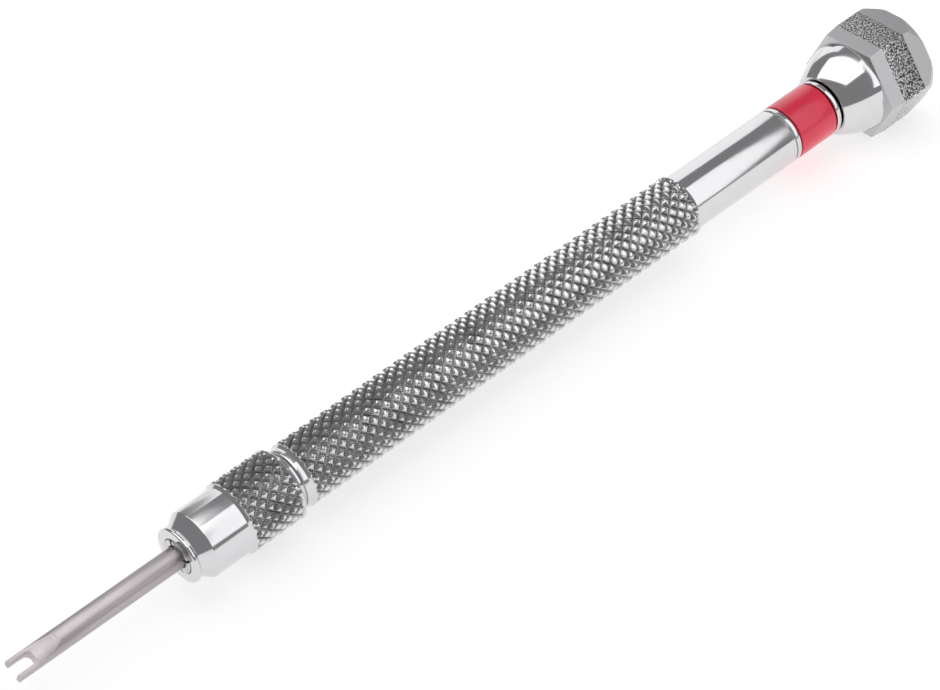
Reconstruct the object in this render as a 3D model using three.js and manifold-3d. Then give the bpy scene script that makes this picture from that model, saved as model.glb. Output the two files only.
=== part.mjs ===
// Fork-bladed watch case back opener: a chucked fork blade, a knurled barrel and a hexagonal swivel head.
// Millimetres, +Z up. The tool lies along X with its prongs towards -X and a flat of its head facing down.
// A station is a distance along the axis from the prong tips. The origin is under the middle of the tool,
// at the height of the head's lowest flat.

import * as THREE from 'three';
import * as BufferGeometryUtils from 'three/addons/utils/BufferGeometryUtils.js';
import Module from 'manifold-3d';

const manifold = await Module();
manifold.setup();

// Fits between pieces.
const runningGap = 0.06; // radial clearance of pieces that move past each other
const fixedGap = 0.04; // radial clearance of pieces that stay together
const faceGap = 0.05; // axial clearance between faces that meet

// Fork blade.
const bladeRadius = 1.275;
const bladeExposedLength = 20.95;
const bladeGrippedLength = 18;
const bladeEndChamfer = 0.25;
const notchWidth = 1.4;
const notchDepth = 2.5;
const flatLength = 5.8;
const flatThickness = 1.2; // between the flats at the tip
const flatCutterRadius = 20; // of the wheel that grinds them hollow
const bladeTurn = THREE.MathUtils.degToRad(28.5); // of the blade's flats about the axis, from facing up

// Barrel. The grip sets the other diameters of the handle, each a step below or above its neighbour.
const gripRadius = 3.75;
const gripLength = 57.2;
const gripChamfer = 0.3;
const frontLandRadius = gripRadius - 0.25;
const frontLandLength = 0.7;
const spigotRadius = frontLandRadius - 0.3;
const spigotWall = 0.86;
const collarClearance = 0.6; // slit between the chuck nut and the barrel
const neckRadius = gripRadius - 0.35;
const neckLength = 15.65;
const grooveWidth = 0.22;
const grooveDepth = 0.3;
const lipLength = 0.55;
const ringSpigotRadius = neckRadius - 0.8;
const bladeWellLength = 14; // bore behind the collet, for the end of the blade
const bladeWellClearance = 0.15;
const screwHoleLength = 8;

// Collet.
const colletConeRadius = spigotRadius - 0.12;
const colletFaceRadius = bladeRadius + 0.775;
const colletShankRadius = spigotRadius - spigotWall - runningGap;
const colletProudLength = 0.15; // of its face in front of the chuck nut
const colletStraightLength = 1.6;
const colletConeLength = 4.05;
const colletShoulderLength = 0.9;
const colletShoulderGap = 1.2; // between its shoulder and the barrel's spigot
const colletShankLength = 8.6;
const colletSlitWidth = 0.35;
const colletSlitLength = 12.5;
const colletChamfer = 0.15;

// Chuck nut.
const noseWaistRadius = colletFaceRadius + runningGap + 0.74; // of the groove behind the lip
const noseWaistLength = 0.75;
const noseLipRadius = noseWaistRadius + 0.4;
const noseLipLength = 0.4;
const noseLipRound = 0.2;
const noseConeLength = 2.2; // from the lip's face to the end of the cone
const noseRadius = spigotRadius + runningGap + 0.67;
const nosePolishedLength = 4.6;
const collarRadius = noseRadius + 0.29;
const collarLength = 7.2;
const collarChamfer = 0.3;

// Colour ring.
const colourRingRadius = neckRadius;
const colourRingLength = 5.6;
const colourRingEndGap = 0.2;
const colourRingChamfer = 0.12;

// Ball bearing, 3 x 8 x 4. Its inner sizes are shares of the room between its bore and its outside.
const bearingBoreRadius = 1.5;
const bearingOuterRadius = 4;
const bearingWidth = 4;
const bearingRoom = bearingOuterRadius - bearingBoreRadius;
const ballCount = 7;
const ballRadius = bearingRoom * 0.3175;
const ballPitchRadius = (bearingBoreRadius + bearingOuterRadius) / 2;
const raceClearance = 0.04;
const innerLandRadius = ballPitchRadius - bearingRoom * 0.204;
const outerLandRadius = ballPitchRadius + bearingRoom * 0.22;
const cageInnerRadius = ballPitchRadius - bearingRoom * 0.1;
const cageOuterRadius = ballPitchRadius + bearingRoom * 0.1;
const cageRim = 0.35; // beyond the balls, at each end
const shieldSeatRadius = bearingOuterRadius - bearingRoom * 0.136;
const shieldSeatDepth = 0.5;
const shieldThickness = 0.25;
const shieldInset = 0.2;

// Flanged spacer between the barrel and the bearing.
const flangeRadius = neckRadius;
const flangeLength = 0.6;
const spacerRadius = innerLandRadius;

// Axle screw.
const screwHeadRadius = innerLandRadius - 0.09;
const screwHeadLength = 1.4;
const screwSlotWidth = 0.5;
const screwSlotDepth = 0.7;
const screwGripLength = 6.5; // of its shank inside the barrel

// Swivel head.
const headFlatRadius = 6; // from the axis to a flat
const headGap = 0.18; // slit between the flange and the head
const domeLength = 4.72;
const domeFrontRadius = flangeRadius + 0.3;
const domeRadius = headFlatRadius - 0.4;
const domeEndAngle = THREE.MathUtils.degToRad(20);
const hexLength = 7.8;
const hexFrontTaper = 0.2; // of the flats towards their front edge
const hexFrontTaperLength = 1.9;
const hexBackTaper = 0.15;
const hexBackTaperLength = 2.4;
const hexChamferLength = 1.7; // of the turned chamfer across the corners
const hexEndRadius = headFlatRadius - 0.03;
const headFrontWall = 2.6;
const clipGap = 0.05;
const clipThickness = 0.6;
const clipGrooveDepth = 0.45;
const clipInnerRadius = bearingOuterRadius - 0.55;
const clipOpening = 2.2;
const fingerRestRadius = headFlatRadius - 0.95;
const fingerRestThickness = 2.4;
const fingerRestDish = 0.9;
const fingerRestRim = 0.45;

const turnedSegments = 36;
const smallSegments = 24;
const ballSegments = 12;
const ballRings = 8;

// Stations of the faces that the pieces share.
const noseStation = bladeExposedLength + colletProudLength;
const noseConeEnd = noseStation + noseConeLength;
const collarStation = noseConeEnd + nosePolishedLength;
const collarEnd = collarStation + collarLength;
const barrelStation = collarEnd + collarClearance;
const colletConeStation = bladeExposedLength + colletStraightLength;
const colletShoulderEnd = colletConeStation + colletConeLength;
const colletShoulderStart = colletShoulderEnd - colletShoulderLength;
const colletEnd = colletShoulderEnd + colletShankLength;
const spigotStation = colletShoulderEnd + colletShoulderGap;
const gripStation = barrelStation + frontLandLength;
const gripEnd = gripStation + gripLength;
const neckEnd = gripEnd + neckLength;
const lipEnd = neckEnd + grooveWidth + lipLength;
const colourRingStation = lipEnd + colourRingEndGap;
const colourRingEnd = colourRingStation + colourRingLength;
const ringSpigotEnd = colourRingEnd + colourRingEndGap;
const flangeStation = ringSpigotEnd + faceGap;
const flangeEnd = flangeStation + flangeLength;
const headStation = flangeEnd + headGap;
const bearingStation = headStation + headFrontWall + faceGap;
const bearingMiddle = bearingStation + bearingWidth / 2;
const bearingEnd = bearingStation + bearingWidth;
const screwHeadStation = bearingEnd + faceGap;
const screwHeadEnd = screwHeadStation + screwHeadLength;
const hexStation = headStation + domeLength;
const headEnd = hexStation + hexLength;
const clipStation = bearingEnd + clipGap;
const fingerRestStation = headEnd - fingerRestThickness;
const hexCornerRadius = headFlatRadius / Math.cos(Math.PI / 6);

// A solid turned about the X axis from a closed outline of [station, radius] points.
function turned(outline, segments = turnedSegments) {
  const points = outline.map(([station, radius]) => new THREE.Vector2(radius, station));
  points.push(points[0].clone());
  const geometry = new THREE.LatheGeometry(points, segments);
  geometry.rotateZ(-Math.PI / 2);
  return orientOut(geometry);
}

// Turns the faces of a closed geometry outwards where its signed volume is negative.
function orientOut(geometry) {
  const closed = geometry.clone();
  closed.deleteAttribute('normal');
  closed.deleteAttribute('uv');
  const merged = BufferGeometryUtils.mergeVertices(closed, 1e-5);
  const position = merged.attributes.position;
  const corners = [new THREE.Vector3(), new THREE.Vector3(), new THREE.Vector3()];
  const kept = [];
  let volume = 0;
  for (let i = 0; i < merged.index.count; i += 3) {
    const face = [0, 1, 2].map((j) => merged.index.getX(i + j));
    if (face[0] === face[1] || face[1] === face[2] || face[2] === face[0]) continue;
    face.forEach((vertex, j) => corners[j].fromBufferAttribute(position, vertex));
    volume += corners[0].dot(corners[1].clone().cross(corners[2]));
    kept.push(face);
  }
  merged.setIndex(kept.flatMap((face) => (volume < 0 ? face.toReversed() : face)));
  return merged;
}

function toSolid(geometry) {
  const merged = orientOut(geometry);
  return new manifold.Manifold(new manifold.Mesh({
    numProp: 3,
    vertProperties: new Float32Array(merged.attributes.position.array),
    triVerts: new Uint32Array(merged.index.array),
  }));
}

function toGeometry(solid) {
  const mesh = solid.getMesh();
  const geometry = new THREE.BufferGeometry();
  geometry.setAttribute('position', new THREE.BufferAttribute(mesh.vertProperties, mesh.numProp));
  geometry.setIndex(new THREE.BufferAttribute(mesh.triVerts, 1));
  return geometry;
}

function cut(geometry, ...tools) {
  return toGeometry(tools.reduce((solid, tool) => solid.subtract(toSolid(tool)), toSolid(geometry)));
}

// A box from one station to another, centred on the axis.
function axialBox(start, end, width, height) {
  const box = new THREE.BoxGeometry(end - start, width, height);
  box.translate((start + end) / 2, 0, 0);
  return box;
}

// Points of a circular arc in a [station, radius] outline.
function arc(centreStation, centreRadius, radius, fromAngle, toAngle, steps) {
  return Array.from({ length: steps + 1 }, (_, i) => {
    const angle = fromAngle + ((toAngle - fromAngle) * i) / steps;
    return [centreStation + radius * Math.cos(angle), centreRadius + radius * Math.sin(angle)];
  });
}

// A round stem with two hollow-ground flats, and a round-bottomed notch between two prongs.
function forkBlade() {
  const length = bladeExposedLength + bladeGrippedLength;
  const stem = turned([
    [0, 0],
    [0, bladeRadius],
    [length - bladeEndChamfer, bladeRadius],
    [length, bladeRadius - bladeEndChamfer],
    [length, 0],
  ], smallSegments);
  const past = 1;
  const flatHeight = flatThickness / 2;
  const centreHeight = flatHeight + flatCutterRadius;
  const topHeight = bladeRadius + past;
  const runout = (height) => Math.sqrt(flatCutterRadius ** 2 - (centreHeight - height) ** 2);
  const runoutStart = flatLength - runout(bladeRadius);
  const topAngle = Math.asin((topHeight - centreHeight) / flatCutterRadius);
  const side = new THREE.Shape();
  side.moveTo(-past, flatHeight);
  side.lineTo(runoutStart, flatHeight);
  side.absarc(runoutStart, centreHeight, flatCutterRadius, -Math.PI / 2, topAngle, false);
  side.lineTo(-past, topHeight);
  const upper = new THREE.ExtrudeGeometry(side, { depth: 4 * bladeRadius, bevelEnabled: false, curveSegments: 6 });
  upper.translate(0, 0, -2 * bladeRadius);
  upper.rotateX(Math.PI / 2);
  const lower = upper.clone().rotateX(Math.PI);

  const notchOutline = new THREE.Shape();
  notchOutline.moveTo(-past, -notchWidth / 2);
  notchOutline.lineTo(notchDepth - notchWidth / 2, -notchWidth / 2);
  notchOutline.absarc(notchDepth - notchWidth / 2, 0, notchWidth / 2, -Math.PI / 2, Math.PI / 2, false);
  notchOutline.lineTo(-past, notchWidth / 2);
  const notch = new THREE.ExtrudeGeometry(notchOutline, { depth: 4 * bladeRadius, bevelEnabled: false,
    curveSegments: 10 });
  notch.translate(0, 0, -2 * bladeRadius);
  const blade = cut(stem, upper, lower, notch);
  blade.rotateX(bladeTurn);
  return blade;
}

// Four jaws on a shank: a straight face, a closing cone and a shoulder, slit lengthwise from the front.
function collet() {
  const face = bladeExposedLength;
  const bore = bladeRadius + runningGap;
  const body = turned([
    [face, bore],
    [face, colletFaceRadius - colletChamfer],
    [face + colletChamfer, colletFaceRadius],
    [colletConeStation, colletFaceRadius],
    [colletShoulderStart, colletConeRadius],
    [colletShoulderEnd, colletConeRadius],
    [colletShoulderEnd, colletShankRadius],
    [colletEnd, colletShankRadius],
    [colletEnd, bore],
  ]);
  const past = 1;
  const slit = axialBox(face - past, face + colletSlitLength, 4 * colletConeRadius, colletSlitWidth);
  slit.rotateX(bladeTurn);
  const crossSlit = slit.clone().rotateX(Math.PI / 2);
  return cut(body, slit, crossSlit);
}

// Lip, waist, cone, polished cylinder and knurled collar outside; mouth, closing cone and threaded bore inside.
function chuckNut() {
  const mouth = colletFaceRadius + runningGap;
  const bore = spigotRadius + runningGap;
  return turned([
    [noseStation, mouth],
    ...arc(noseStation + noseLipRound, noseLipRadius - noseLipRound, noseLipRound, Math.PI, Math.PI / 2, 3),
    [noseStation + noseLipLength, noseLipRadius],
    [noseStation + noseWaistLength, noseWaistRadius],
    [noseConeEnd, noseRadius],
    [collarStation, noseRadius],
    [collarStation, collarRadius - collarChamfer / 2],
    [collarStation + collarChamfer, collarRadius],
    [collarEnd - collarChamfer, collarRadius],
    [collarEnd, collarRadius - collarChamfer],
    [collarEnd, bore],
    [colletShoulderStart, bore],
    [colletConeStation, mouth],
  ]);
}

// One turned piece: threaded spigot, grip, neck and the spigot for the colour ring, drilled from both ends.
function barrel() {
  const colletBore = colletShankRadius + runningGap;
  const colletBoreEnd = colletEnd + faceGap;
  const well = bladeRadius + bladeWellClearance;
  const wellEnd = colletBoreEnd + bladeWellLength;
  const screwHole = bearingBoreRadius;
  const screwHoleStart = ringSpigotEnd - screwHoleLength;
  return turned([
    [wellEnd, 0],
    [wellEnd, well],
    [colletBoreEnd, well],
    [colletBoreEnd, colletBore],
    [spigotStation, colletBore],
    [spigotStation, spigotRadius],
    [barrelStation, spigotRadius],
    [barrelStation, frontLandRadius - gripChamfer / 2],
    [barrelStation + gripChamfer, frontLandRadius],
    [gripStation, frontLandRadius],
    [gripStation + gripChamfer, gripRadius],
    [gripEnd - gripChamfer, gripRadius],
    [gripEnd, neckRadius],
    [neckEnd, neckRadius],
    [neckEnd, neckRadius - grooveDepth],
    [neckEnd + grooveWidth, neckRadius - grooveDepth],
    [neckEnd + grooveWidth, neckRadius],
    [lipEnd, neckRadius],
    [lipEnd, ringSpigotRadius],
    [ringSpigotEnd, ringSpigotRadius],
    [ringSpigotEnd, screwHole],
    [screwHoleStart, screwHole],
    [screwHoleStart, 0],
  ]);
}

function colourRing() {
  const bore = ringSpigotRadius + fixedGap;
  return turned([
    [colourRingStation, bore],
    [colourRingStation, colourRingRadius - colourRingChamfer],
    [colourRingStation + colourRingChamfer, colourRingRadius],
    [colourRingEnd - colourRingChamfer, colourRingRadius],
    [colourRingEnd, colourRingRadius - colourRingChamfer],
    [colourRingEnd, bore],
  ]);
}

// A thin flange on a tube that carries the clamping force to the bearing's inner ring.
function flangedSpacer() {
  const bore = bearingBoreRadius;
  return turned([
    [flangeStation, bore],
    [flangeStation, flangeRadius],
    [flangeEnd, flangeRadius],
    [flangeEnd, spacerRadius],
    [bearingStation - faceGap, spacerRadius],
    [bearingStation - faceGap, bore],
  ]);
}

// A slotted head and a shank, which passes through the bearing and the spacer into the barrel.
function axleScrew() {
  const shankRadius = bearingBoreRadius - fixedGap;
  const body = turned([
    [ringSpigotEnd - screwGripLength, 0],
    [ringSpigotEnd - screwGripLength, shankRadius],
    [screwHeadStation, shankRadius],
    [screwHeadStation, screwHeadRadius],
    [screwHeadEnd, screwHeadRadius],
    [screwHeadEnd, 0],
  ], smallSegments);
  const past = 1;
  const slot = axialBox(screwHeadEnd - screwSlotDepth, screwHeadEnd + past, 3 * screwHeadRadius, screwSlotWidth);
  return cut(body, slot);
}

// Half the width of a race groove where it meets a land.
function raceHalfWidth(radiusDifference) {
  const raceRadius = ballRadius + raceClearance;
  return Math.sqrt(raceRadius ** 2 - radiusDifference ** 2);
}

function bearingInnerRing() {
  const drop = ballPitchRadius - innerLandRadius;
  const half = raceHalfWidth(drop);
  const start = Math.atan2(-drop, -half);
  const end = Math.atan2(-drop, half);
  return turned([
    [bearingStation, bearingBoreRadius],
    [bearingStation, innerLandRadius],
    ...arc(bearingMiddle, ballPitchRadius, ballRadius + raceClearance, start, end, 8),
    [bearingEnd, innerLandRadius],
    [bearingEnd, bearingBoreRadius],
  ], smallSegments);
}

function bearingOuterRing() {
  const rise = outerLandRadius - ballPitchRadius;
  const half = raceHalfWidth(rise);
  const start = Math.atan2(rise, half);
  const end = Math.atan2(rise, -half);
  return turned([
    [bearingStation, shieldSeatRadius],
    [bearingStation, bearingOuterRadius],
    [bearingEnd, bearingOuterRadius],
    [bearingEnd, shieldSeatRadius],
    [bearingEnd - shieldSeatDepth, shieldSeatRadius],
    [bearingEnd - shieldSeatDepth, outerLandRadius],
    ...arc(bearingMiddle, ballPitchRadius, ballRadius + raceClearance, start, end, 8),
    [bearingStation + shieldSeatDepth, outerLandRadius],
    [bearingStation + shieldSeatDepth, shieldSeatRadius],
  ], smallSegments);
}

function ballCentre(index) {
  const angle = (2 * Math.PI * index) / ballCount;
  return new THREE.Vector3(bearingMiddle, ballPitchRadius * Math.cos(angle), ballPitchRadius * Math.sin(angle));
}

function sphereAt(centre, radius) {
  const sphere = new THREE.SphereGeometry(radius, ballSegments, ballRings);
  sphere.translate(centre.x, centre.y, centre.z);
  return sphere;
}

function bearingCage() {
  const start = bearingMiddle - ballRadius - cageRim;
  const end = bearingMiddle + ballRadius + cageRim;
  const band = turned([
    [start, cageInnerRadius],
    [start, cageOuterRadius],
    [end, cageOuterRadius],
    [end, cageInnerRadius],
  ], smallSegments);
  const pockets = Array.from({ length: ballCount }, (_, index) => (
    sphereAt(ballCentre(index), ballRadius + runningGap)));
  return cut(band, ...pockets);
}

function bearingBall(index) {
  return orientOut(sphereAt(ballCentre(index), ballRadius));
}

function bearingShield(start) {
  return turned([
    [start, innerLandRadius + runningGap],
    [start, shieldSeatRadius - fixedGap],
    [start + shieldThickness, shieldSeatRadius - fixedGap],
    [start + shieldThickness, innerLandRadius + runningGap],
  ], smallSegments);
}

// A domed shoulder in front of a hexagon with tapered ends, bored for the bearing and the finger rest.
function headBody() {
  const domeSteps = 8;
  const domeWidth = domeRadius / Math.cos(domeEndAngle);
  const frontAngle = Math.acos(domeFrontRadius / domeWidth);
  const domeReach = domeLength / (Math.sin(frontAngle) - Math.sin(domeEndAngle));
  const dome = Array.from({ length: domeSteps + 1 }, (_, i) => {
    const angle = frontAngle + ((domeEndAngle - frontAngle) * i) / domeSteps;
    const station = hexStation - domeReach * (Math.sin(angle) - Math.sin(domeEndAngle));
    return [station, domeWidth * Math.cos(angle)];
  });
  const spacerHole = spacerRadius + runningGap;
  const bearingBore = bearingOuterRadius + fixedGap;
  const clipEnd = clipStation + clipThickness + clipGap;
  const blank = turned([
    [headStation, spacerHole],
    ...dome,
    [hexStation, hexCornerRadius],
    [headEnd - hexChamferLength, hexCornerRadius],
    [headEnd, hexEndRadius],
    [headEnd, fingerRestRadius + fixedGap],
    [fingerRestStation - faceGap, fingerRestRadius + fixedGap],
    [fingerRestStation - faceGap, bearingBore],
    [clipEnd, bearingBore],
    [clipEnd, bearingBore + clipGrooveDepth],
    [bearingEnd, bearingBore + clipGrooveDepth],
    [bearingEnd, bearingBore],
    [bearingStation - faceGap, bearingBore],
    [bearingStation - faceGap, spacerHole],
  ], 48);
  const past = 1;
  const toCorner = hexCornerRadius / headFlatRadius;
  const hexagon = turned([
    [headStation - past, 0],
    [headStation - past, hexCornerRadius - hexFrontTaper * toCorner],
    [hexStation, hexCornerRadius - hexFrontTaper * toCorner],
    [hexStation + hexFrontTaperLength, hexCornerRadius],
    [headEnd - hexBackTaperLength, hexCornerRadius],
    [headEnd, hexCornerRadius - hexBackTaper * toCorner],
    [headEnd + past, hexCornerRadius - hexBackTaper * toCorner],
    [headEnd + past, 0],
  ], 6);
  hexagon.rotateX(Math.PI / 6);
  return toGeometry(toSolid(blank).intersect(toSolid(hexagon)));
}

// A spring ring with a gap for fitting it, held in a groove of the head's bore.
function retainingClip() {
  const outer = bearingOuterRadius + clipGrooveDepth;
  const ring = turned([
    [clipStation, clipInnerRadius],
    [clipStation, outer],
    [clipStation + clipThickness, outer],
    [clipStation + clipThickness, clipInnerRadius],
  ], smallSegments);
  const past = 1;
  const opening = axialBox(clipStation - past, clipStation + clipThickness + past, clipOpening, outer + past);
  opening.translate(0, 0, (outer + past) / 2);
  return cut(ring, opening);
}

// A cap with a dished back for the fingertip.
function fingerRest() {
  const dishRadius = fingerRestRadius - fingerRestRim;
  const sphereRadius = (dishRadius ** 2 + fingerRestDish ** 2) / (2 * fingerRestDish);
  const halfAngle = Math.asin(dishRadius / sphereRadius);
  const centre = headEnd - fingerRestDish + sphereRadius;
  const dishSteps = 6;
  const dish = Array.from({ length: dishSteps }, (_, i) => {
    const angle = halfAngle * (1 - i / dishSteps);
    return [centre - sphereRadius * Math.cos(angle), sphereRadius * Math.sin(angle)];
  });
  return turned([
    [fingerRestStation, 0],
    [fingerRestStation, fingerRestRadius],
    [headEnd, fingerRestRadius],
    ...dish,
    [headEnd - fingerRestDish, 0],
  ]);
}

const tool = new THREE.Group();
tool.position.set(-headEnd / 2, 0, headFlatRadius);

const finishes = {
  bladeSteel: { color: 0xa79c9b, roughness: 0.38, metalness: 1 },
  polishedSteel: { color: 0xd9d9dc, roughness: 0.12, metalness: 1 },
  knurledSteel: { color: 0xc9c9cc, roughness: 0.28, metalness: 1 },
  redLacquer: { color: 0xd23e55, roughness: 0.35, metalness: 0.2 },
  bearingSteel: { color: 0xb8babf, roughness: 0.2, metalness: 1 },
  springSteel: { color: 0x77797d, roughness: 0.4, metalness: 1 },
};

function addPiece(name, geometry, finish) {
  const mesh = new THREE.Mesh(geometry, new THREE.MeshStandardMaterial(finishes[finish]));
  mesh.name = name;
  tool.add(mesh);
}

addPiece('fork_blade', forkBlade(), 'bladeSteel');
addPiece('collet', collet(), 'bearingSteel');
addPiece('chuck_nut', chuckNut(), 'knurledSteel');
addPiece('barrel', barrel(), 'knurledSteel');
addPiece('colour_ring', colourRing(), 'redLacquer');
addPiece('flanged_spacer', flangedSpacer(), 'polishedSteel');
addPiece('axle_screw', axleScrew(), 'polishedSteel');
addPiece('bearing_inner_ring', bearingInnerRing(), 'bearingSteel');
addPiece('bearing_outer_ring', bearingOuterRing(), 'bearingSteel');
addPiece('bearing_cage', bearingCage(), 'springSteel');
for (let index = 0; index < ballCount; index += 1) {
  addPiece(`bearing_ball_${index + 1}`, bearingBall(index), 'bearingSteel');
}
addPiece('bearing_shield_front', bearingShield(bearingStation + shieldInset), 'springSteel');
addPiece('bearing_shield_rear', bearingShield(bearingEnd - shieldInset - shieldThickness), 'springSteel');
addPiece('retaining_clip', retainingClip(), 'springSteel');
addPiece('head_body', headBody(), 'polishedSteel');
addPiece('finger_rest', fingerRest(), 'polishedSteel');

export default tool;
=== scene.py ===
import itertools
import math

import bmesh
import bpy
import numpy as np
from mathutils import Matrix, Vector


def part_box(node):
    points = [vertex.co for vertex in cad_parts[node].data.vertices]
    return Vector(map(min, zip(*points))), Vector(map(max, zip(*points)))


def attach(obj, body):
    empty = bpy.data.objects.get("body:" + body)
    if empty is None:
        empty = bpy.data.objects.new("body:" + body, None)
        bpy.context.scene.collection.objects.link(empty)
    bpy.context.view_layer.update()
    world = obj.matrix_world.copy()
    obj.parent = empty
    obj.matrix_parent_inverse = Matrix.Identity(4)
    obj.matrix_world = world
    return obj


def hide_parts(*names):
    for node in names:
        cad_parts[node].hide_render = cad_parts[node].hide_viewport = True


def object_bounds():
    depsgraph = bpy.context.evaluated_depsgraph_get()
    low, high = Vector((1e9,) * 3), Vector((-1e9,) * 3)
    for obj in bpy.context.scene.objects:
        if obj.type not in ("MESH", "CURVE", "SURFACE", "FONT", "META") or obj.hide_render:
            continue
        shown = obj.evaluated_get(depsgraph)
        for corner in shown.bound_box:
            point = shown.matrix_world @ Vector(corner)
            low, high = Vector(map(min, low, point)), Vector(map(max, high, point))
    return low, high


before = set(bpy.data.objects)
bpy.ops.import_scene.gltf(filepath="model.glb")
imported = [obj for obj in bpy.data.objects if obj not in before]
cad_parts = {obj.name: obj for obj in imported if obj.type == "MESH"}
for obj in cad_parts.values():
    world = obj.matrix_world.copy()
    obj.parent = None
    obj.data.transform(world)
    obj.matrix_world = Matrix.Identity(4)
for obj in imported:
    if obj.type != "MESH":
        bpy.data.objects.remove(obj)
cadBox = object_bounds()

# Fork-bladed case back opener. The tool lies along X, fork towards -X, a flat of the head on the floor.
# Lengths in the dictionaries are millimetres, and radii are from the tool's axis.
mm = 0.001
toolFront = cadBox[0][0]
axisHeight = (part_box("barrel")[0].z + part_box("barrel")[1].z) / 2


def startOf(node):
    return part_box(node)[0].x / mm


def endOf(node):
    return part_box(node)[1].x / mm


cameraSet = {
    "tilt": 27.0,  # of the tool out of the picture plane, fork towards the camera
    "turn": 41.5,  # round the tool, from straight above towards -Y
    "climb": 34.94,  # of the tool in the picture
    "distance": 353.6,
    "target": 62.2,  # from the fork's tip, along the tool
    "sideways": 0.598,  # the target lies beside the axis by this much
    "lens": 126.4,
}


def toolDirections(turnDegrees):
    turn = math.radians(turnDegrees)
    facing = Vector((0, -math.sin(turn), math.cos(turn)))
    beside = Vector((0, -math.cos(turn), -math.sin(turn)))
    return facing, beside


def addCamera(values):
    facing, beside = toolDirections(values["turn"])
    tilt = math.radians(values["tilt"])
    climb = math.radians(values["climb"])
    along = Vector((1, 0, 0))
    outward = math.cos(tilt) * facing - math.sin(tilt) * along
    toolInPicture = math.cos(tilt) * along + math.sin(tilt) * facing
    right = math.cos(climb) * toolInPicture + math.sin(climb) * beside
    up = math.sin(climb) * toolInPicture - math.cos(climb) * beside
    target = Vector((toolFront + values["target"] * mm, 0, axisHeight))
    target -= beside * values["sideways"] * mm
    data = bpy.data.cameras.new("camera")
    data.lens = values["lens"]
    data.clip_start = 0.01
    camera = bpy.data.objects.new("camera", data)
    bpy.context.scene.collection.objects.link(camera)
    turning = Matrix((right, up, outward)).transposed().to_4x4()
    camera.matrix_world = Matrix.Translation(target + outward * values["distance"] * mm) @ turning
    bpy.context.scene.camera = camera


class Wire:
    # one value of a material; sums and products of wires add Math nodes
    def __init__(self, finish, socket):
        self.finish = finish
        self.socket = socket

    def math(self, operation, first, second):
        return self.finish.node("ShaderNodeMath", {"operation": operation}, {0: first, 1: second})

    def __add__(self, other):
        return self.math("ADD", self, other)

    def __radd__(self, other):
        return self.math("ADD", other, self)

    def __sub__(self, other):
        return self.math("SUBTRACT", self, other)

    def __rsub__(self, other):
        return self.math("SUBTRACT", other, self)

    def __mul__(self, other):
        return self.math("MULTIPLY", self, other)

    def __rmul__(self, other):
        return self.math("MULTIPLY", other, self)


class Finish:
    # a material with one Principled shader, and the node maker for it
    def __init__(self, name, **constants):
        self.material = bpy.data.materials.new(name)
        self.material.use_nodes = True
        self.tree = self.material.node_tree
        self.shader = self.tree.nodes["Principled BSDF"]
        for socketName, value in constants.items():
            self.shader.inputs[socketName.replace("_", " ")].default_value = value

    def plug(self, value, socket):
        if isinstance(value, Wire):
            self.tree.links.new(value.socket, socket)
        else:
            socket.default_value = value

    def node(self, kind, settings=None, inputs=None, output=0):
        made = self.tree.nodes.new(kind)
        for setting, value in (settings or {}).items():
            setattr(made, setting, value)
        for name, value in (inputs or {}).items():
            self.plug(value, made.inputs[name])
        return Wire(self, made.outputs[output])

    def place(self, scale=(1, 1, 1)):
        coordinates = self.node("ShaderNodeTexCoord", output="Object")
        inputs = {"Vector": coordinates, "Scale": scale}
        return self.node("ShaderNodeMapping", {"vector_type": "POINT"}, inputs)

    def axial(self):
        # millimetres along the tool, from its middle
        coordinates = self.node("ShaderNodeTexCoord", output="Object")
        parts = self.node("ShaderNodeSeparateXYZ", {}, {"Vector": coordinates}, "X")
        return parts * (1 / mm)

    def noise(self, size, detail=4.0, stretch=(1, 1, 1), roughness=0.5):
        # size is the patch size in millimetres
        scale = tuple(part / (size * mm) for part in stretch)
        inputs = {"Vector": self.place(scale), "Scale": 1.0, "Detail": detail, "Roughness": roughness}
        return self.node("ShaderNodeTexNoise", {}, inputs, "Fac")

    def spread(self, value, low, high):
        # 0 at low, 1 at high, and level beyond them
        inputs = {"Value": value, "From Min": low, "From Max": high, "To Min": 0.0, "To Max": 1.0}
        return self.node("ShaderNodeMapRange", {"clamp": True}, inputs, "Result")

    def mixColour(self, factor, first, second):
        # a colour Mix node has its A, B and Result at these places among its sockets
        inputs = {0: factor, 6: first, 7: second}
        return self.node("ShaderNodeMix", {"data_type": "RGBA"}, inputs, 2)

    def attribute(self, name):
        return self.node("ShaderNodeAttribute", {"attribute_name": name}, {}, "Fac")

    def bump(self, height, strength, distance):
        inputs = {"Height": height, "Strength": strength, "Distance": distance * mm}
        return self.node("ShaderNodeBump", {}, inputs, "Normal")

    def feed(self, **values):
        for socketName, value in values.items():
            self.plug(value, self.shader.inputs[socketName.replace("_", " ")])


polishValues = {
    "tint": (0.70, 0.70, 0.71, 1),
    "smudgeTint": (0.62, 0.615, 0.625, 1),
    "smudgeSize": 3.5,
    "smudgeRange": (0.42, 0.72),
    "smudgeMix": 0.5,
    "roughness": 0.07,
    "smudgeRoughness": 0.07,
    "lineSize": 0.09,  # of the turning lines round the piece
    "scratchSize": 0.5,
    "scratchStretch": (0.25, 3, 3),
    "scratchRange": (0.63, 0.7),
    "scratchRoughness": 0.05,
    "scratchDepth": 0.15,
    "bumpStrength": 0.12,
    "bumpDistance": 0.004,
}


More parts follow.
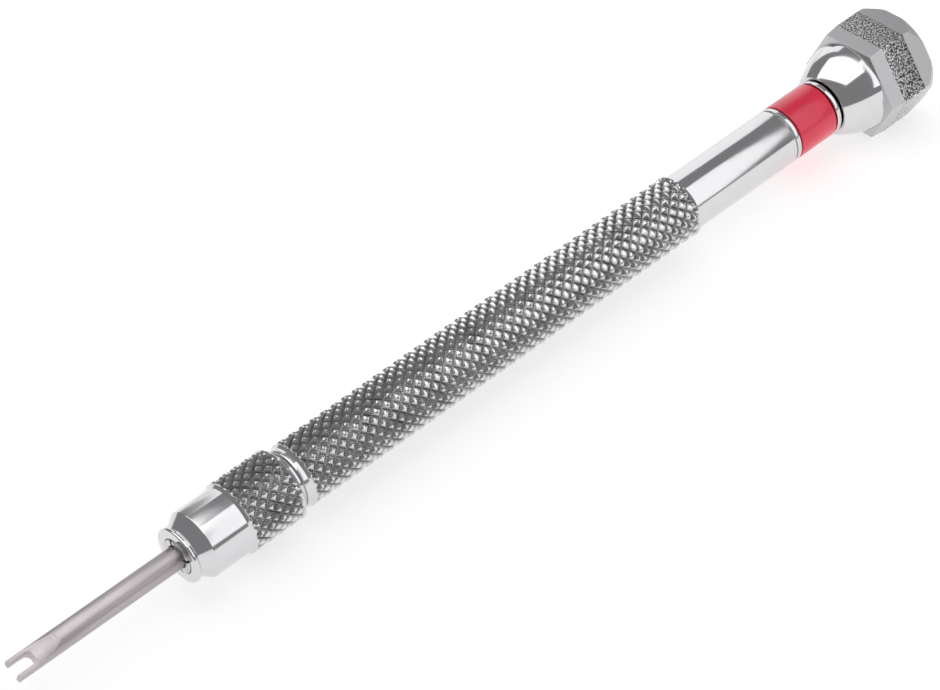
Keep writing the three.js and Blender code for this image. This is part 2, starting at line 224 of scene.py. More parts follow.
def polishedSteel(name, turning=0.25):
    v = polishValues
    finish = Finish(name, Metallic=1.0)
    smudge = finish.spread(finish.noise(v["smudgeSize"], 5), *v["smudgeRange"])
    turnedLines = finish.noise(v["lineSize"], 2, (1, 0.02, 0.02))
    scratches = finish.spread(finish.noise(v["scratchSize"], 6, v["scratchStretch"]), *v["scratchRange"])
    relief = turnedLines * turning + scratches * v["scratchDepth"]
    finish.feed(
        Base_Color=finish.mixColour(smudge * v["smudgeMix"], v["tint"], v["smudgeTint"]),
        Roughness=v["roughness"] + smudge * v["smudgeRoughness"] + scratches * v["scratchRoughness"],
        Normal=finish.bump(relief, v["bumpStrength"], v["bumpDistance"]),
    )
    return finish.material


knurlFinish = {
    "crestTint": (0.68, 0.68, 0.69, 1),
    # painted shade: the near-black colour laid into the knurl grooves
    "grooveShadeTint": (0.02, 0.0196, 0.0206, 1),
    "grooveShadeRange": (0.22, 0.72),  # of the cavity depth over which the painted groove shade sets in
    "grimeFloor": 0.7,  # of the painted groove shade that the wear noise never lifts
    "wearSize": 2.2,
    "wearRange": (0.35, 0.7),
    "roughness": 0.1,
    "grooveShadeRoughness": 0.3,
    "wearRoughness": 0.05,
    "lineSize": 0.08,
    "lineShare": 0.3,
    "grainSize": 0.06,
    "bumpStrength": 0.1,
    "bumpDistance": 0.01,
}


def knurledSteel(name):
    v = knurlFinish
    finish = Finish(name, Metallic=1.0)
    cavity = finish.attribute("cavity")
    wear = finish.spread(finish.noise(v["wearSize"], 5), *v["wearRange"])
    # painted shade: the grooves darken with their depth below the crests, lifted in patches by the wear
    # noise
    grime = finish.spread(cavity, *v["grooveShadeRange"]) * (v["grimeFloor"] + wear * (1 - v["grimeFloor"]))
    turnedLines = finish.noise(v["lineSize"], 2, (1, 0.02, 0.02))
    grain = finish.noise(v["grainSize"], 3)
    relief = turnedLines * v["lineShare"] + grain * (1 - v["lineShare"])
    finish.feed(
        Base_Color=finish.mixColour(grime, v["crestTint"], v["grooveShadeTint"]),
        Roughness=v["roughness"] + grime * v["grooveShadeRoughness"] + wear * v["wearRoughness"],
        Normal=finish.bump(relief, v["bumpStrength"], v["bumpDistance"]),
    )
    return finish.material


bladeFinish = {
    "tint": (0.53, 0.485, 0.49, 1),
    "darkTint": (0.41, 0.375, 0.385, 1),
    "toneSize": 1.6,
    "toneRange": (0.35, 0.68),
    "grainSize": 0.05,  # of the grinding lines along the stem
    "roughness": 0.3,
    "grainRoughness": 0.12,
    "toneRoughness": 0.05,
    "bumpStrength": 0.25,
    "bumpDistance": 0.006,
}


def satinBlade(name):
    v = bladeFinish
    finish = Finish(name, Metallic=1.0)
    grain = finish.noise(v["grainSize"], 4, (0.03, 1, 1), 0.6)
    tone = finish.spread(finish.noise(v["toneSize"], 4, (0.15, 1, 1)), *v["toneRange"])
    finish.feed(
        Base_Color=finish.mixColour(tone, v["tint"], v["darkTint"]),
        Roughness=v["roughness"] + grain * v["grainRoughness"] + tone * v["toneRoughness"],
        Normal=finish.bump(grain, v["bumpStrength"], v["bumpDistance"]),
    )
    return finish.material


lacquerFinish = {
    "tint": (0.86, 0.02, 0.068, 1),
    "cloudTint": (0.77, 0.026, 0.07, 1),
    "cloudSize": 2.8,
    "cloudRange": (0.35, 0.7),
    "roughness": 0.28,
    "cloudRoughness": 0.06,
    "orangePeelSize": 0.12,
    "bumpStrength": 0.08,
    "bumpDistance": 0.006,
}


def redLacquer(name):
    v = lacquerFinish
    finish = Finish(name, Metallic=0.0, Coat_Weight=0.35, Coat_Roughness=0.08, IOR=1.5)
    cloud = finish.spread(finish.noise(v["cloudSize"], 4), *v["cloudRange"])
    orangePeel = finish.noise(v["orangePeelSize"], 3)
    finish.feed(
        Base_Color=finish.mixColour(cloud, v["tint"], v["cloudTint"]),
        Roughness=v["roughness"] + cloud * v["cloudRoughness"],
        Normal=finish.bump(orangePeel, v["bumpStrength"], v["bumpDistance"]),
    )
    return finish.material


bandedValues = {
    "satinTint": (0.6, 0.6, 0.61, 1),
    "satinRoughness": 0.42,
    # painted shade: the near-black speckle colour of the band
    "bandShadeTint": (0.07, 0.07, 0.075, 1),
    "bandShine": (0.72, 0.72, 0.73, 1),
    "bandPolish": 0.2,  # by which the band is less rough than the satin
    "bandEdge": 0.06,  # millimetres over which the band fades
    "grainSize": 0.2,
    "grainRange": (0.46, 0.54),
    "polishedRelief": 0.04,
    "satinRelief": 0.1,
    "bandRelief": 0.86,
    "bumpStrength": 0.6,
    "bumpDistance": 0.02,
}


def bandedSteel(name, satinStart, bandStart, bandEnd):
    # polished at the front, satin behind, with a band of speckles between two places along the tool; the
    # band's near-black speckles are painted shade, darkening it as the reflection on the flats darkens
    # there
    v = bandedValues
    polish = polishValues
    finish = Finish(name, Metallic=1.0)
    place = finish.axial()
    edge = v["bandEdge"]
    satin = finish.spread(place, satinStart - edge, satinStart)
    band = finish.spread(place, bandStart - edge, bandStart + edge)
    band = band * finish.spread(place, bandEnd + edge, bandEnd - edge)
    smudge = finish.spread(finish.noise(polish["smudgeSize"], 5), *polish["smudgeRange"])
    grain = finish.noise(v["grainSize"], 2)
    speckle = finish.spread(grain, *v["grainRange"])
    polished = finish.mixColour(smudge * polish["smudgeMix"], polish["tint"], polish["smudgeTint"])
    ground = finish.mixColour(satin, polished, v["satinTint"])
    # painted shade: dark speckles mixed with bright ones make the band darker
    speckledShade = finish.mixColour(speckle, v["bandShadeTint"], v["bandShine"])
    polishedRoughness = polish["roughness"] + smudge * polish["smudgeRoughness"]
    satinStep = (v["satinRoughness"] - polishedRoughness) * satin
    relief = grain * (v["polishedRelief"] + satin * v["satinRelief"] + band * v["bandRelief"])
    finish.feed(
        Base_Color=finish.mixColour(band, ground, speckledShade),
        Roughness=polishedRoughness + satinStep - band * v["bandPolish"],
        Normal=finish.bump(relief, v["bumpStrength"], v["bumpDistance"]),
    )
    return finish.material


plainFinish = {
    "cloudSize": 1.2,
    "cloudRange": (0.35, 0.7),
    "cloudShade": 0.82,
    "cloudRoughness": 0.08,
    "lineSize": 0.07,
    "bumpStrength": 0.12,
    "bumpDistance": 0.006,
}


def plainSteel(name, tint, roughness):
    v = plainFinish
    finish = Finish(name, Metallic=1.0)
    cloud = finish.spread(finish.noise(v["cloudSize"], 4), *v["cloudRange"])
    shaded = tuple(part * v["cloudShade"] for part in tint)
    lines = finish.noise(v["lineSize"], 3, (1, 0.1, 0.1))
    finish.feed(
        Base_Color=finish.mixColour(cloud, (*tint, 1), (*shaded, 1)),
        Roughness=roughness + cloud * v["cloudRoughness"],
        Normal=finish.bump(lines, v["bumpStrength"], v["bumpDistance"]),
    )
    return finish.material


floorFinish = {
    "tint": (0.56, 0.56, 0.565, 1),
    "cloudTint": (0.6, 0.6, 0.6, 1),
    "cloudSize": 90,
    "glow": 0.62,
    "roughness": 0.75,
    "cloudRoughness": 0.1,
}


def paleFloor(name):
    v = floorFinish
    finish = Finish(name, Metallic=0.0, Emission_Color=(1, 1, 1, 1), Emission_Strength=v["glow"])
    cloud = finish.noise(v["cloudSize"], 3)
    finish.feed(
        Base_Color=finish.mixColour(cloud, v["tint"], v["cloudTint"]),
        Roughness=v["roughness"] + cloud * v["cloudRoughness"],
    )
    return finish.material


def addMesh(name, vertices, faces, material, sharpAngle=28):
    mesh = bpy.data.meshes.new(name)
    mesh.from_pydata([tuple(v) for v in vertices], [], [tuple(f) for f in faces])
    mesh.validate()
    piece = bpy.data.objects.new(name, mesh)
    bpy.context.scene.collection.objects.link(piece)
    mesh.materials.append(material)
    smooth(piece, sharpAngle)
    return piece


def smooth(piece, sharpAngle=28):
    piece.data.polygons.foreach_set("use_smooth", [True] * len(piece.data.polygons))
    piece.data.set_sharp_from_angle(angle=math.radians(sharpAngle))


def rounded(points, radii, steps=5):
    # points of a closed outline, each corner turned into an arc of its radius
    count = len(points)
    outline = []
    for i, point in enumerate(points):
        radius = radii.get(i, 0)
        here = Vector(point)
        if radius <= 0:
            outline.append(here)
            continue
        before = Vector(points[i - 1]) - here
        after = Vector(points[(i + 1) % count]) - here
        half = before.angle(after) / 2
        reach = min(radius / math.tan(half), before.length * 0.49, after.length * 0.49)
        fit = reach * math.tan(half)
        before.normalize()
        after.normalize()
        centre = here + (before + after).normalized() * (fit / math.sin(half))
        first = here + before * reach - centre
        last = here + after * reach - centre
        sweep = first.angle(last)
        for step in range(steps + 1):
            share = step / steps
            weight = math.sin((1 - share) * sweep), math.sin(share * sweep)
            outline.append(centre + (first * weight[0] + last * weight[1]) / math.sin(sweep))
    return [(p.x, p.y) for p in outline]


def turnedPiece(name, outline, material, segments=96, shift=None, sharpAngle=28):
    # outline: closed list of (station, radius); shift(station, radius, angle) moves the skin in or out
    rows = []
    vertices = []
    for station, radius in outline:
        if radius < 1e-6:
            rows.append([len(vertices)] * segments)
            vertices.append((station * mm, 0, axisHeight))
            continue
        row = []
        for i in range(segments):
            angle = 2 * math.pi * i / segments
            r = radius + (shift(station, radius, angle) if shift else 0)
            row.append(len(vertices))
            y, z = r * math.cos(angle) * mm, r * math.sin(angle) * mm
            vertices.append((station * mm, y, axisHeight + z))
        rows.append(row)
    faces = []
    count = len(rows)
    for k in range(count):
        low, high = rows[k], rows[(k + 1) % count]
        if low[0] == low[1] and high[0] == high[1]:
            continue
        for i in range(segments):
            j = (i + 1) % segments
            corner = [low[i], low[j], high[j], high[i]]
            face = [v for n, v in enumerate(corner) if v != corner[n - 1]]
            faces.append(face)
    piece = addMesh(name, vertices, faces, material, sharpAngle)
    outward(piece)
    return piece


def outward(piece):
    work = bmesh.new()
    work.from_mesh(piece.data)
    bmesh.ops.recalc_face_normals(work, faces=work.faces)
    if work.calc_volume(signed=True) < 0:
        bmesh.ops.reverse_faces(work, faces=work.faces)
    work.to_mesh(piece.data)
    work.free()


def turnOnAxis(work, turnDegrees):
    turning = Matrix.Rotation(math.radians(turnDegrees), 3, "X")
    bmesh.ops.rotate(work, verts=work.verts, cent=(0, 0, 0), matrix=turning)
    bmesh.ops.translate(work, verts=work.verts, vec=(0, 0, axisHeight))


def boxPiece(name, low, high, turnDegrees):
    work = bmesh.new()
    for x, y, z in itertools.product(*zip(low, high)):
        work.verts.new((x * mm, y * mm, z * mm))
    bmesh.ops.convex_hull(work, input=work.verts)
    turnOnAxis(work, turnDegrees)
    return pieceFrom(work, name)


def slabPiece(name, outline, halfThickness, turnDegrees):
    # an outline of (station, width) pushed to both sides of the axis, then turned about it
    work = bmesh.new()
    front = [work.verts.new((x * mm, y * mm, -halfThickness * mm)) for x, y in outline]
    back = [work.verts.new((x * mm, y * mm, halfThickness * mm)) for x, y in outline]
    work.faces.new(front)
    work.faces.new(back[::-1])
    for i in range(len(outline)):
        j = (i + 1) % len(outline)
        work.faces.new((front[i], back[i], back[j], front[j]))
    bmesh.ops.recalc_face_normals(work, faces=work.faces)
    turnOnAxis(work, turnDegrees)
    return pieceFrom(work, name)


def pieceFrom(work, name):
    mesh = bpy.data.meshes.new(name)
    work.to_mesh(mesh)
    work.free()
    piece = bpy.data.objects.new(name, mesh)
    bpy.context.scene.collection.objects.link(piece)
    return piece


def hand(piece, body, node):
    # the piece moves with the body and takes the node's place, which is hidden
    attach(piece, body)
    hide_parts(node)


def finishMesh(piece, material, sharpAngle):
    piece.data.materials.clear()
    piece.data.materials.append(material)
    smooth(piece, sharpAngle)


def carve(piece, tools, operation="DIFFERENCE"):
    for tool in tools:
        modifier = piece.modifiers.new("carve", "BOOLEAN")
        modifier.operation = operation
        modifier.solver = "EXACT"
        modifier.object = tool
    settle(piece)
    for tool in tools:
        bpy.data.objects.remove(tool)


def settle(piece):
    # applies the piece's modifiers to its mesh
    graph = bpy.context.evaluated_depsgraph_get()
    mesh = bpy.data.meshes.new_from_object(piece.evaluated_get(graph))
    piece.modifiers.clear()
    piece.data = mesh


def softenEdges(piece, width, angle, segments):
    modifier = piece.modifiers.new("soften", "BEVEL")
    modifier.width = width * mm
    modifier.segments = segments
    modifier.limit_method = "ANGLE"
    modifier.angle_limit = math.radians(angle)
    settle(piece)


knurl = {
    "pitch": 1.473,  # along the tool, and about the same around it
    "depth": 0.36,
    "fade": 0.35,  # length over which it dies out at its ends
    "cavityMargin": 0.1,  # the finish takes this much more than the depth as its deepest
    "smoothMargin": 0.05,  # the first rows at each end get no painted groove shade
    "crestShare": 0.22,  # of a groove's spacing that stays as flat crest
    "steps": 8,  # mesh steps in one pitch
}


def diamondKnurl(start, end, starts):
    # two families of V grooves that cross
    def height(station, radius, angle):
        if not start < station < end:
            return 0.0
        turn = angle / (2 * math.pi) * starts
        along = (station - start) / knurl["pitch"]
        level = 1.0
        for phase in (turn + along, turn - along):
            toGroove = abs(phase - round(phase)) * 2
            level = min(level, toGroove / (1 - knurl["crestShare"]))
        ends = min((station - start) / knurl["fade"], (end - station) / knurl["fade"], 1.0)
        return -knurl["depth"] * (1 - level) * ends
    return height


def gripRows(start, end, radius):
    count = max(2, round((end - start) / knurl["pitch"] * knurl["steps"]))
    return [(start + (end - start) * i / count, radius) for i in range(count + 1)]


def markCavity(piece, crestRadius, start, end):
    # how deep each point of the knurl lies below the crests, for the finish to paint shade into the
    # grooves; smooth stretches stay at 0
    depth = knurl["depth"] + knurl["cavityMargin"]
    margin = knurl["smoothMargin"]
    points = np.array([v.co for v in piece.data.vertices]) / mm
    radii = np.hypot(points[:, 1], points[:, 2] - axisHeight / mm)
    inside = (points[:, 0] > start + margin) & (points[:, 0] < end - margin)
    cavity = np.clip((crestRadius - radii) / depth, 0, 1) * inside
    attribute = piece.data.attributes.new("cavity", "FLOAT", "POINT")
    attribute.data.foreach_set("value", cavity.astype(np.float32))


barrelSizes = {
    "landGap": 0.6,  # slit behind the chuck nut
    "landRadius": 3.5,
    "landLength": 0.7,
    "gripRadius": 3.75,
    "gripLength": 57.2,
    "gripChamfer": 0.3,
    "neckRadius": 3.4,
    "neckLength": 15.65,
    "grooveWidth": 0.22,
    "grooveDepth": 0.3,
    "lipLength": 0.55,
    "ringSpigotRadius": 2.6,
    "spigotRadius": 3.2,
    "spigotChamfer": 0.45,
    "colletBore": 2.34,
    "colletBoreDepth": 9.5,
    "threadRun": (0.5, 0.6),  # clear of the spigot's front and of the land
    "threadPitch": 0.5,
    "threadDepth": 0.2,
    "threadFade": 0.5,
    "threadSteps": 84,
    "starts": 16,
}


def makeBarrel(material):
    v = barrelSizes
    front, back = startOf("barrel"), endOf("barrel")
    land = endOf("chuck_nut") + v["landGap"]
    grip = land + v["landLength"]
    gripEnd = grip + v["gripLength"]
    neckEnd = gripEnd + v["neckLength"]
    lip = neckEnd + v["grooveWidth"]
    lipEnd = lip + v["lipLength"]
    knurlStart, knurlEnd = grip + v["gripChamfer"], gripEnd - v["gripChamfer"]
    knurlSkin = diamondKnurl(knurlStart, knurlEnd, v["starts"])
    threadStart, threadEnd = front + v["threadRun"][0], land - v["threadRun"][1]
    threadLength = threadEnd - threadStart

    def skin(station, radius, angle):
        if threadStart < station < threadEnd and math.isclose(radius, v["spigotRadius"]):
            phase = (station - threadStart) / v["threadPitch"] - angle / (2 * math.pi)
            toEnd = min(station - threadStart, threadEnd - station)
            ends = min(toEnd / v["threadFade"], 1.0)
            return -v["threadDepth"] * ends * (1 - abs(2 * (phase % 1.0) - 1))
        if math.isclose(radius, v["gripRadius"]):
            return knurlSkin(station, radius, angle)
        return 0.0

    threadRows = []
    for i in range(v["threadSteps"] + 1):
        threadRows.append((threadStart + threadLength * i / v["threadSteps"], v["spigotRadius"]))
    head = rounded([
        (front + v["colletBoreDepth"], 0),
        (front + v["colletBoreDepth"], v["colletBore"]),
        (front, v["colletBore"]),
        (front, v["spigotRadius"]),
        (front + v["spigotChamfer"], v["spigotRadius"]),
    ], {2: 0.15, 3: 0.2})
    middle = rounded([
        (threadEnd, v["spigotRadius"]),
        (land, v["spigotRadius"]),
        (land, v["landRadius"]),
        (grip, v["landRadius"]),
        (grip + v["gripChamfer"], v["gripRadius"]),
        (gripEnd, v["gripRadius"]),
    ], {2: 0.22})[1:-1]
    tail = rounded([
        (gripEnd - v["gripChamfer"], v["gripRadius"]),
        (gripEnd, v["neckRadius"]),
        (neckEnd, v["neckRadius"]),
        (neckEnd, v["neckRadius"] - v["grooveDepth"]),
        (lip, v["neckRadius"] - v["grooveDepth"]),
        (lip, v["neckRadius"]),
        (lipEnd, v["neckRadius"]),
        (lipEnd, v["ringSpigotRadius"]),
        (back, v["ringSpigotRadius"]),
        (back, 0),
    ], {2: 0.08, 3: 0.05, 4: 0.05, 5: 0.08, 6: 0.08, 8: 0.1})[1:]
    outline = head + threadRows + middle + gripRows(knurlStart, knurlEnd, v["gripRadius"])[1:] + tail
    piece = turnedPiece("knurledBarrel", outline, material, v["starts"] * knurl["steps"], skin)
    markCavity(piece, v["gripRadius"], grip, gripEnd)
    hand(piece, "handle", "barrel")


chuckSizes = {
    "mouthRadius": 2.11,
    "lipRadius": 3.25,
    "lipRound": 0.17,
    "lipLength": 0.4,
    "waistRadius": 2.85,
    "waistLength": 0.75,
    "coneLength": 2.2,  # from the lip's face
    "noseRadius": 3.93,
    "polishedLength": 4.6,
    "collarRadius": 4.22,
    "collarChamfer": 0.3,
    "boreRadius": 3.26,
    "boreStart": 4.6,  # behind the nut's front
    "coneStart": 1.45,
    "starts": 18,
}


def makeChuckNut(material):
    v = chuckSizes
    front, back = startOf("chuck_nut"), endOf("chuck_nut")
    nose = front + v["coneLength"]
    collar = nose + v["polishedLength"]
    knurlStart, knurlEnd = collar + v["collarChamfer"], back - v["collarChamfer"]
    knurlSkin = diamondKnurl(knurlStart, knurlEnd, v["starts"])

    def skin(station, radius, angle):
        return knurlSkin(station, radius, angle) if math.isclose(radius, v["collarRadius"]) else 0.0

    head = rounded([
        (front + v["coneStart"], v["mouthRadius"]),
        (front, v["mouthRadius"]),
        (front, v["lipRadius"]),
        (front + v["lipLength"], v["lipRadius"]),
        (front + v["waistLength"], v["waistRadius"]),
        (nose, v["noseRadius"]),
        (collar, v["noseRadius"]),
        (collar, v["collarRadius"] - v["collarChamfer"]),
        (knurlStart, v["collarRadius"]),
        (knurlEnd, v["collarRadius"]),
    ], {1: 0.08, 2: v["lipRound"], 3: 0.1, 4: 0.08, 5: 0.15, 7: 0.05})[:-2]
    tail = rounded([
        (knurlEnd, v["collarRadius"]),
        (back, v["collarRadius"] - v["collarChamfer"]),
        (back, v["boreRadius"]),
        (front + v["boreStart"], v["boreRadius"]),
    ], {1: 0.1, 2: 0.15})[1:]
    outline = head + gripRows(knurlStart, knurlEnd, v["collarRadius"]) + tail
    piece = turnedPiece("chuckNut", outline, material, v["starts"] * knurl["steps"], skin)
    markCavity(piece, v["collarRadius"], collar, back)
    hand(piece, "chuck_nut", "chuck_nut")


ringSizes = {
    "bore": 2.64,
    "radius": 3.4,
    "edgeRound": 0.16,
    "boreRound": 0.05,
}


def makeColourRing(material):
    v = ringSizes
    low, high = startOf("colour_ring"), endOf("colour_ring")
    outline = rounded([
        (low, v["bore"]),
        (low, v["radius"]),
        (high, v["radius"]),
        (high, v["bore"]),
    ], {0: v["boreRound"], 1: v["edgeRound"], 2: v["edgeRound"], 3: v["boreRound"]})
    piece = turnedPiece("colourRing", outline, material)
    hand(piece, "handle", "colour_ring")


spacerSizes = {
    "bore": 1.5,
    "tubeRadius": 2.24,
    "flangeRadius": 3.4,
    "flangeLength": 0.6,
    "edgeRound": 0.12,
}


def makeSpacer(material):
    v = spacerSizes
    low, high = startOf("flanged_spacer"), endOf("flanged_spacer")
    flangeEnd = low + v["flangeLength"]
    outline = rounded([
        (low, v["bore"]),
        (low, v["flangeRadius"]),
        (flangeEnd, v["flangeRadius"]),
        (flangeEnd, v["tubeRadius"]),
        (high, v["tubeRadius"]),
        (high, v["bore"]),
    ], {1: v["edgeRound"], 2: v["edgeRound"], 3: v["edgeRound"]})
    piece = turnedPiece("flangedSpacer", outline, material)
    hand(piece, "handle", "flanged_spacer")


bladeSizes = {
    "radius": 1.275,
    "notchWidth": 1.4,
    "notchDepth": 2.5,
    "flatLength": 5.8,
    "flatThickness": 1.2,
    "wheelRadius": 20.0,
    "turn": 28.5,
    "frontRound": 0.05,
    "backRound": 0.25,
    "edgeWidth": 0.045,
    "past": 1.0,  # by which the cutting tools stand past the tip
    "wheelPast": 1.4,  # by which the wheel runs out of the stem
    "toolReach": 3.0,
    "steps": 24,
}


def makeBlade(material):
    v = bladeSizes
    front, back = startOf("fork_blade"), endOf("fork_blade")
    stem = [(front, 0), (front, v["radius"]), (back, v["radius"]), (back, 0)]
    outline = rounded(stem, {1: v["frontRound"], 2: v["backRound"]})
    piece = turnedPiece("forkBlade", outline, material)
    tip = front - v["past"]
    halfFlat = v["flatThickness"] / 2
    reach = math.sqrt(v["wheelRadius"] ** 2 - (v["wheelRadius"] + halfFlat - v["radius"]) ** 2)
    ground = front + v["flatLength"] - reach
    tools = []
    for side in (1, -1):
        wheel = [(tip, side * halfFlat)]
        for i in range(v["steps"] + 1):
            x = ground + (reach + v["wheelPast"]) * i / v["steps"]
            dip = v["wheelRadius"] - math.sqrt(v["wheelRadius"] ** 2 - (x - ground) ** 2)
            wheel.append((x, side * (halfFlat + dip)))
        wheel += [(wheel[-1][0], side * v["toolReach"]), (tip, side * v["toolReach"])]
        tools.append(slabPiece("wheel", wheel, v["toolReach"], v["turn"] + 90))
    half = v["notchWidth"] / 2
    centre = front + v["notchDepth"] - half
    notch = [(tip, -half)]
    for i in range(v["steps"] + 1):
        angle = math.pi * i / v["steps"]
        notch.append((centre + half * math.sin(angle), -half * math.cos(angle)))
    notch.append((tip, half))
    tools.append(slabPiece("notch", notch, v["toolReach"], v["turn"]))
    carve(piece, tools)
    softenEdges(piece, v["edgeWidth"], 30, 2)
    finishMesh(piece, material, 24)
    hand(piece, "blade", "fork_blade")


colletSizes = {
    "faceRadius": 2.05,
    "straightLength": 1.6,
    "coneEnd": 4.75,
    "coneRadius": 3.08,
    "shoulder": 5.65,
    "shankRadius": 2.28,
    "bore": 1.335,
    "slitWidth": 0.32,
    "slitLength": 12.5,
    "slitReach": 4.0,
    "slitTurns": (45, 135),  # from the fork's flats
    "past": 1.0,
    "edgeWidth": 0.03,
}


def makeCollet(material):
    v = colletSizes
    front, back = startOf("collet"), endOf("collet")
    outline = rounded([
        (front, v["bore"]),
        (front, v["faceRadius"]),
        (front + v["straightLength"], v["faceRadius"]),
        (front + v["coneEnd"], v["coneRadius"]),
        (front + v["shoulder"], v["coneRadius"]),
        (front + v["shoulder"], v["shankRadius"]),
        (back, v["shankRadius"]),
        (back, v["bore"]),
    ], {0: 0.1, 1: 0.18, 4: 0.1, 6: 0.2})
    piece = turnedPiece("splitCollet", outline, material)
    half, reach = v["slitWidth"] / 2, v["slitReach"]
    low = (front - v["past"], -reach, -half)
    high = (front + v["slitLength"], reach, half)
    carve(piece, [boxPiece("slit", low, high, bladeSizes["turn"] + turn) for turn in v["slitTurns"]])
    softenEdges(piece, v["edgeWidth"], 40, 2)
    finishMesh(piece, material, 28)
    hand(piece, "collet", "collet")


headSizes = {
    "flatRadius": 6.0,
    "domeLength": 4.72,
    "domeFront": 3.7,
    "domeRadius": 5.6,
    "domeEndAngle": 20.0,
    "frontTaper": 0.2,  # of the flats towards their front edge
    "frontTaperLength": 1.9,
    "backTaper": 0.15,
    "backTaperLength": 2.4,
    "chamferLength": 1.7,  # of the turned chamfer across the corners
    "endRadius": 5.97,
    "spacerHole": 2.3,
    "frontWall": 2.6,
    "bearingBore": 4.04,
    "restBore": 5.09,
    "restDepth": 2.45,
    "cornerRound": 0.16,
    "edgeWidth": 0.07,
    "domeSteps": 24,
    "segments": 144,
    "past": 1.0,
}


def domeOutline(v, hexStart):
    endAngle = math.radians(v["domeEndAngle"])
    width = v["domeRadius"] / math.cos(endAngle)
    frontAngle = math.acos(v["domeFront"] / width)
    reach = v["domeLength"] / (math.sin(frontAngle) - math.sin(endAngle))
    dome = []
    for i in range(v["domeSteps"] + 1):
        angle = frontAngle + (endAngle - frontAngle) * i / v["domeSteps"]
        station = hexStart - reach * (math.sin(angle) - math.sin(endAngle))
        dome.append((station, width * math.cos(angle)))
    return dome


def hexagonPiece(v, front, hexStart, back):
    # six sides with rounded corners and tapered ends
    taperEnd = hexStart + v["frontTaperLength"]
    taperStart = back - v["backTaperLength"]
    rows = [
        (front - v["past"], v["flatRadius"] - v["frontTaper"]),
        (hexStart, v["flatRadius"] - v["frontTaper"]),
        (taperEnd, v["flatRadius"]),
        (taperStart, v["flatRadius"]),
        (back, v["flatRadius"] - v["backTaper"]),
        (back + v["past"], v["flatRadius"] - v["backTaper"]),
    ]
    work = bmesh.new()
    rings = []
    for station, flat in rows:
        corner = flat / math.cos(math.pi / 6)
        angles = [math.pi / 3 * k for k in range(6)]
        sides = [(corner * math.cos(angle), corner * math.sin(angle)) for angle in angles]
        outline = rounded(sides, {k: v["cornerRound"] for k in range(6)}, 3)
        ring = [work.verts.new((station * mm, y * mm, axisHeight + z * mm)) for y, z in outline]
        rings.append(ring)
    count = len(rings[0])
    work.faces.new(rings[0])
    work.faces.new(rings[-1][::-1])
    for low, high in zip(rings, rings[1:]):
        for i in range(count):
            j = (i + 1) % count
            work.faces.new((low[i], high[i], high[j], low[j]))
    bmesh.ops.recalc_face_normals(work, faces=work.faces)
    return pieceFrom(work, "hexagon")


def makeHead(material):
    v = headSizes
    front, back = startOf("head_body"), endOf("head_body")
    hexStart = front + v["domeLength"]
    cornerRadius = v["flatRadius"] / math.cos(math.pi / 6)
    outline = [(front, v["spacerHole"])] + domeOutline(v, hexStart) + [
        (hexStart, cornerRadius),
        (back - v["chamferLength"], cornerRadius),
        (back, v["endRadius"]),
        (back, v["restBore"]),
        (back - v["restDepth"], v["restBore"]),
        (back - v["restDepth"], v["bearingBore"]),
        (front + v["frontWall"], v["bearingBore"]),
        (front + v["frontWall"], v["spacerHole"]),
    ]
    piece = turnedPiece("hexHead", outline, material, v["segments"])
    carve(piece, [hexagonPiece(v, front, hexStart, back)], "INTERSECT")
    softenEdges(piece, v["edgeWidth"], 24, 2)
    finishMesh(piece, material, 6)
    hand(piece, "head", "head_body")


restSizes = {
    "radius": 5.05,
    "rim": 0.45,
    "dish": 0.9,
    "edge": 0.15,
    "dishSteps": 16,
}


def makeFingerRest(material):
    v = restSizes
    low, high = startOf("finger_rest"), endOf("finger_rest")
    dishRadius = v["radius"] - v["rim"]
    sphere = (dishRadius ** 2 + v["dish"] ** 2) / (2 * v["dish"])
    half = math.asin(dishRadius / sphere)
    bottom = high - v["dish"]
    hollow = []
    for i in range(v["dishSteps"]):
        angle = half * (1 - i / v["dishSteps"])
        hollow.append((bottom + sphere * (1 - math.cos(angle)), sphere * math.sin(angle)))
    cap = [(low, 0), (low, v["radius"]), (high, v["radius"]), hollow[0]]
    rim = rounded(cap, {1: v["edge"], 2: v["edge"]})
    piece = turnedPiece("fingerRest", rim + hollow[1:] + [(bottom, 0)], material, sharpAngle=35)
    hand(piece, "head", "finger_rest")


lightSet = {
    # degrees of lean towards the head, and of turn round the tool from straight above towards -Y
    "overhead": dict(lean=-1, turn=-8, width=286, depth=936, distance=520, power=1.25),
    "front": dict(lean=29, turn=43, width=360, depth=830, distance=640, power=1.0),
    "back": dict(lean=31, turn=-66, width=323, depth=537, distance=700, power=0.5),
}


def addSoftbox(name, values):
    # lies away from the tool's middle in its direction, and faces back to it
    facing, _ = toolDirections(values["turn"])
    lean = math.radians(values["lean"])
    along = Vector((1, 0, 0))
    away = (math.sin(lean) * along + math.cos(lean) * facing).normalized()
    data = bpy.data.lights.new(name, "AREA")
    data.shape = "RECTANGLE"
    data.size = values["width"] * mm
    data.size_y = values["depth"] * mm
    data.energy = values["power"]
    light = bpy.data.objects.new(name, data)
    bpy.context.scene.collection.objects.link(light)
    side = (along - away * away.x).normalized()
    turning = Matrix((side, away.cross(side), away)).transposed().to_4x4()
    light.matrix_world = Matrix.Translation(away * values["distance"] * mm) @ turning


floorSizes = {
    "reach": 1500,  # from the middle to each side
    "sink": 0.05,  # below the tool
}


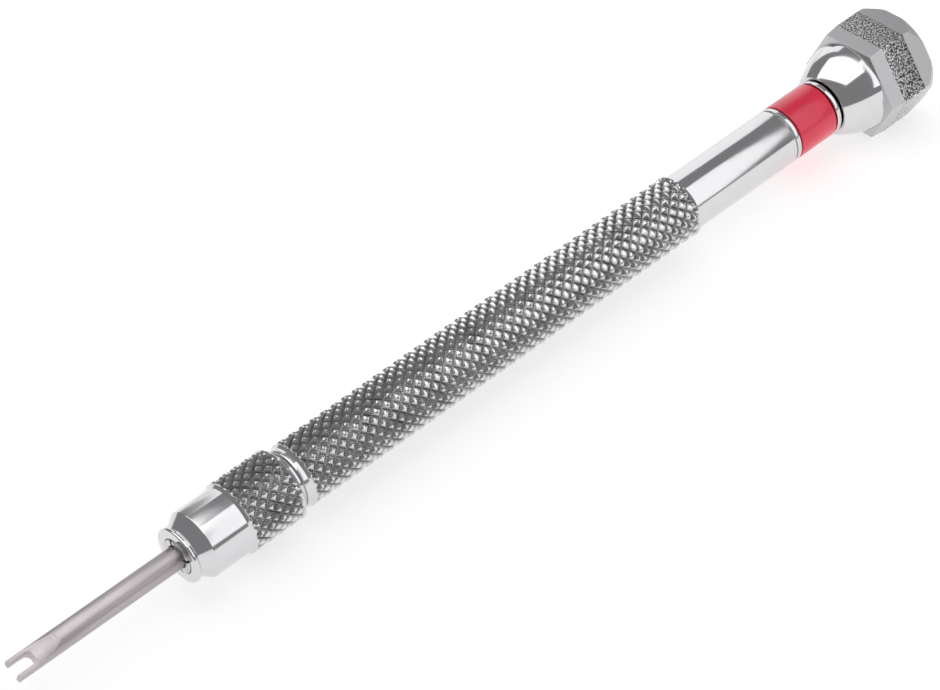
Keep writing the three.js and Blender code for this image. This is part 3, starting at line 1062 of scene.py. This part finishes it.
def addFloor(material):
    work = bmesh.new()
    bmesh.ops.create_grid(work, x_segments=1, y_segments=1, size=floorSizes["reach"] * mm)
    mesh = bpy.data.meshes.new("floor")
    work.to_mesh(mesh)
    work.free()
    mesh.materials.append(material)
    floor = bpy.data.objects.new("floor", mesh)
    bpy.context.scene.collection.objects.link(floor)
    floor.location.z = -floorSizes["sink"] * mm


studioColour = (0.26, 0.26, 0.2652, 1)


def addWorld(colour):
    world = bpy.data.worlds.new("studio")
    world.use_nodes = True
    world.node_tree.nodes["Background"].inputs["Color"].default_value = colour
    bpy.context.scene.world = world


print("stage: camera, floor and lights")
addCamera(cameraSet)
addFloor(paleFloor("paleFloor"))
addWorld(studioColour)
for lightName, lightValues in lightSet.items():
    addSoftbox(lightName, lightValues)
bpy.context.scene.view_settings.view_transform = "Standard"

print("stage: handle")
knurled = knurledSteel("knurledSteel")
polished = polishedSteel("polishedSteel")
makeBarrel(knurled)
makeColourRing(redLacquer("redLacquer"))
makeSpacer(polished)

print("stage: chuck and blade")
makeChuckNut(knurled)
makeCollet(plainSteel("colletSteel", (0.62, 0.62, 0.635), 0.2))
makeBlade(satinBlade("satinBlade"))

print("stage: head")
hexStart = startOf("head_body") + headSizes["domeLength"]
bandStart = hexStart + headSizes["frontTaperLength"]
bandEnd = endOf("head_body") - headSizes["backTaperLength"]
makeHead(bandedSteel("headSteel", hexStart, bandStart, bandEnd))
makeFingerRest(polishedSteel("restSteel", turning=0.5))

print("stage: inner pieces")
innerFinishes = {
    "axle_screw": plainSteel("screwSteel", (0.6, 0.6, 0.61), 0.22),
    "retaining_clip": plainSteel("springSteel", (0.36, 0.37, 0.4), 0.3),
    "bearing_cage": plainSteel("cageSteel", (0.5, 0.49, 0.46), 0.35),
}
lapped = plainSteel("lappedSteel", (0.72, 0.72, 0.74), 0.1)
pressed = plainSteel("pressedSteel", (0.55, 0.55, 0.57), 0.28)
for nodeName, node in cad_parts.items():
    if node.hide_render:
        continue
    finish = innerFinishes.get(nodeName, pressed if "shield" in nodeName else lapped)
    node.data.materials.clear()
    node.data.materials.append(finish)
